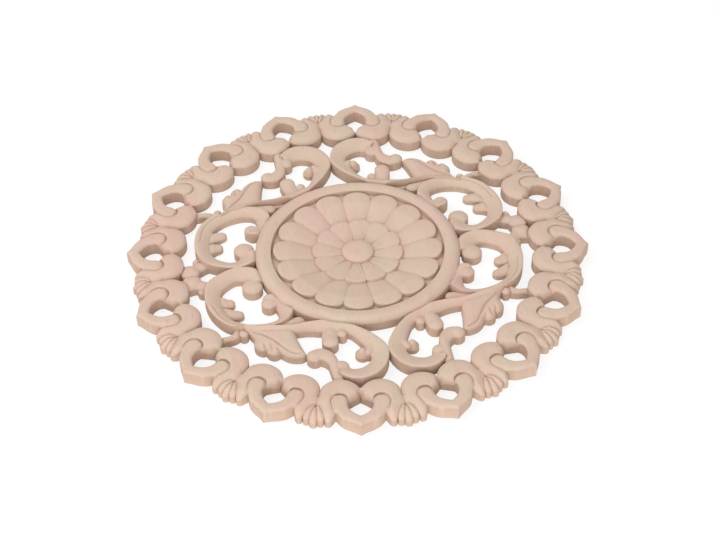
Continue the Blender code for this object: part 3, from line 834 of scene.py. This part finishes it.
def blended(tree, amount, first, second):
    """A colour Mix node; each colour is a tuple or a socket."""
    node = tree.nodes.new("ShaderNodeMix")
    node.data_type = "RGBA"
    for name, value in (("Factor", amount), ("A", first), ("B", second)):
        feed(tree, node.inputs[name], value)
    return node.outputs["Result"]


def noise(tree, place, scale, along, detail):
    """A noise pattern, stretched along Y where `along` is less than 1."""
    mapping = tree.nodes.new("ShaderNodeMapping")
    mapping.inputs["Scale"].default_value = (1, along, 1)
    feed(tree, mapping.inputs["Vector"], place)
    node = tree.nodes.new("ShaderNodeTexNoise")
    node.inputs["Scale"].default_value = scale
    node.inputs["Detail"].default_value = detail
    feed(tree, node.inputs["Vector"], mapping.outputs["Vector"])
    return node.outputs["Fac"]


def ramp(tree, value, low_end, high_end):
    """The value spread from 0 at one end to 1 at the other."""
    node = tree.nodes.new("ShaderNodeMapRange")
    node.inputs["From Min"].default_value = low_end
    node.inputs["From Max"].default_value = high_end
    feed(tree, node.inputs["Value"], value)
    return node.outputs["Result"]


STRIP_W = 0.043  # width of the glued strips
FIRST_JOINT = 0.009  # how far left of the middle the nearest glue line lies
PINK = (0.648, 0.447, 0.372)  # the two tones of the timber
STRAW = (0.612, 0.490, 0.376)
GRAIN = (0.575, 0.395, 0.300)
FIBRE = (0.520, 0.350, 0.260)
PORE = (0.400, 0.255, 0.180)
# brown of the sawn walls, made darker as painted shade on faces that turn sideways
SAWN_AND_SHADE = (0.590, 0.425, 0.325)
# painted shade in the deepest grooves
GROOVE_SHADE = (0.400, 0.265, 0.190)
STRIP_TONE = 0.35  # how far the strips differ in tone
SAWN_AND_SHADE_SHARE = 0.6  # how strongly the sawn walls with their painted shade, and the painted shade in the grooves, show
GROOVE_SHADE_SHARE = 0.32
STEEP = 0.55  # the normal's rise where the brown of the sawn walls, partly painted shade, begins
ROUGH = 0.70  # roughness of the wood, and how much more it is on the grain
GRAIN_ROUGH = 0.18

wood = bpy.data.materials.new("bare_wood")
wood.use_nodes = True
tree = wood.node_tree
shader = tree.nodes["Principled BSDF"]
place = tree.nodes.new("ShaderNodeTexCoord")
parts = tree.nodes.new("ShaderNodeSeparateXYZ")
feed(tree, parts.inputs["Vector"], place.outputs["Object"])

# each glued strip has a tone of its own, and its grain is shifted along it
across = maths(tree, "ADD", parts.outputs["X"], FIRST_JOINT)
strip = maths(tree, "FLOOR", maths(tree, "DIVIDE", across, STRIP_W))
tone = tree.nodes.new("ShaderNodeTexWhiteNoise")
tone.noise_dimensions = "1D"
feed(tree, tone.inputs["W"], strip)
shifted = tree.nodes.new("ShaderNodeCombineXYZ")
feed(tree, shifted.inputs["X"], parts.outputs["X"])
feed(tree, shifted.inputs["Y"], maths(tree, "ADD", parts.outputs["Y"], tone.outputs["Value"]))
feed(tree, shifted.inputs["Z"], parts.outputs["Z"])
grown = shifted.outputs["Vector"]

cloudy = noise(tree, grown, scale=48, along=0.5, detail=3)
rings = noise(tree, grown, scale=95, along=0.10, detail=3)
fibres = noise(tree, grown, scale=900, along=0.05, detail=2)
pores = noise(tree, grown, scale=1500, along=0.07, detail=1)
colour = blended(tree, ramp(tree, cloudy, 0.35, 0.68), PINK, STRAW)
own_tone = maths(tree, "MULTIPLY", tone.outputs["Value"], STRIP_TONE)
colour = blended(tree, own_tone, colour, STRAW)
for pattern, begins, full, share, tint in (
    (rings, 0.45, 0.75, 0.35, GRAIN),
    (fibres, 0.5, 0.8, 0.22, FIBRE),
    (pores, 0.66, 0.74, 0.40, PORE),
):
    amount = maths(tree, "MULTIPLY", ramp(tree, pattern, begins, full), share)
    colour = blended(tree, amount, colour, tint)

# walls that turn sideways take the brown: partly their sawn surface, partly painted shade
facing = tree.nodes.new("ShaderNodeSeparateXYZ")
feed(tree, facing.inputs["Vector"], place.outputs["Normal"])
wall = ramp(tree, facing.outputs["Z"], STEEP, UPRIGHT)
colour = blended(tree, maths(tree, "MULTIPLY", wall, SAWN_AND_SHADE_SHARE), colour, SAWN_AND_SHADE)
# painted shade: the deepest grooves are darkened by the hollow attribute
hollow = tree.nodes.new("ShaderNodeAttribute")
hollow.attribute_name = "hollow"
shaded_grooves = maths(tree, "MULTIPLY", hollow.outputs["Fac"], GROOVE_SHADE_SHARE)
feed(tree, shader.inputs["Base Color"], blended(tree, shaded_grooves, colour, GROOVE_SHADE))

rough = maths(tree, "ADD", ROUGH, maths(tree, "MULTIPLY", rings, GRAIN_ROUGH))
feed(tree, shader.inputs["Roughness"], rough)
shader.inputs["Specular IOR Level"].default_value = 0.35
bump = tree.nodes.new("ShaderNodeBump")
bump.inputs["Strength"].default_value = 0.35
bump.inputs["Distance"].default_value = 0.0002
fine, coarse = (maths(tree, "MULTIPLY", pattern, 0.5) for pattern in (fibres, cloudy))
feed(tree, bump.inputs["Height"], maths(tree, "ADD", fine, coarse))
feed(tree, shader.inputs["Normal"], bump.outputs["Normal"])
onlay.data.materials.clear()
onlay.data.materials.append(wood)

# ---------------------------------------------------------------- floor, light and camera
# A white light table under an even white sky. One soft lamp hangs high on the left, and one
# stands low in front.

GLOW_SHARE = 0.75  # how much of what the camera sees of the table is its own light

bpy.ops.mesh.primitive_plane_add(size=8)
floor = bpy.context.object
floor.name = "floor"
table = bpy.data.materials.new("light_table")
table.use_nodes = True
tree = table.node_tree
matt = tree.nodes["Principled BSDF"]
matt.inputs["Base Color"].default_value = (0.90, 0.90, 0.90, 1)
matt.inputs["Roughness"].default_value = 0.9
glow = tree.nodes.new("ShaderNodeEmission")
glow.inputs["Color"].default_value = (1, 1, 1, 1)
glow.inputs["Strength"].default_value = 1.05
seen = tree.nodes.new("ShaderNodeLightPath")
mix = tree.nodes.new("ShaderNodeMixShader")
feed(tree, mix.inputs["Fac"], maths(tree, "MULTIPLY", seen.outputs["Is Camera Ray"], GLOW_SHARE))
feed(tree, mix.inputs[1], matt.outputs["BSDF"])
feed(tree, mix.inputs[2], glow.outputs["Emission"])
feed(tree, tree.nodes["Material Output"].inputs["Surface"], mix.outputs["Shader"])
floor.data.materials.append(table)

sky = bpy.data.worlds.new("studio")
bpy.context.scene.world = sky
sky.use_nodes = True
white = sky.node_tree.nodes["Background"]
white.inputs["Color"].default_value = (1, 1, 1, 1)
white.inputs["Strength"].default_value = 0.68

for spot, energy, size in (((-0.6, 0.3, 1.1), 6, 0.8), ((-0.25, -1.1, 0.40), 7, 0.9)):
    bpy.ops.object.light_add(type="AREA", location=spot)
    lamp = bpy.context.object
    lamp.data.energy = energy
    lamp.data.size = size
    lamp.rotation_euler = Vector(spot).to_track_quat("Z", "Y").to_euler()
bpy.context.scene.view_settings.view_transform = "Standard"

bpy.ops.object.camera_add(location=(-0.1390, -0.6988, 0.6828),
                          rotation=[math.radians(a) for a in (45.75, 0.826, -12.055)])
camera = bpy.context.object
camera.data.sensor_width = 36
camera.data.lens = 75.94
bpy.context.scene.camera = camera
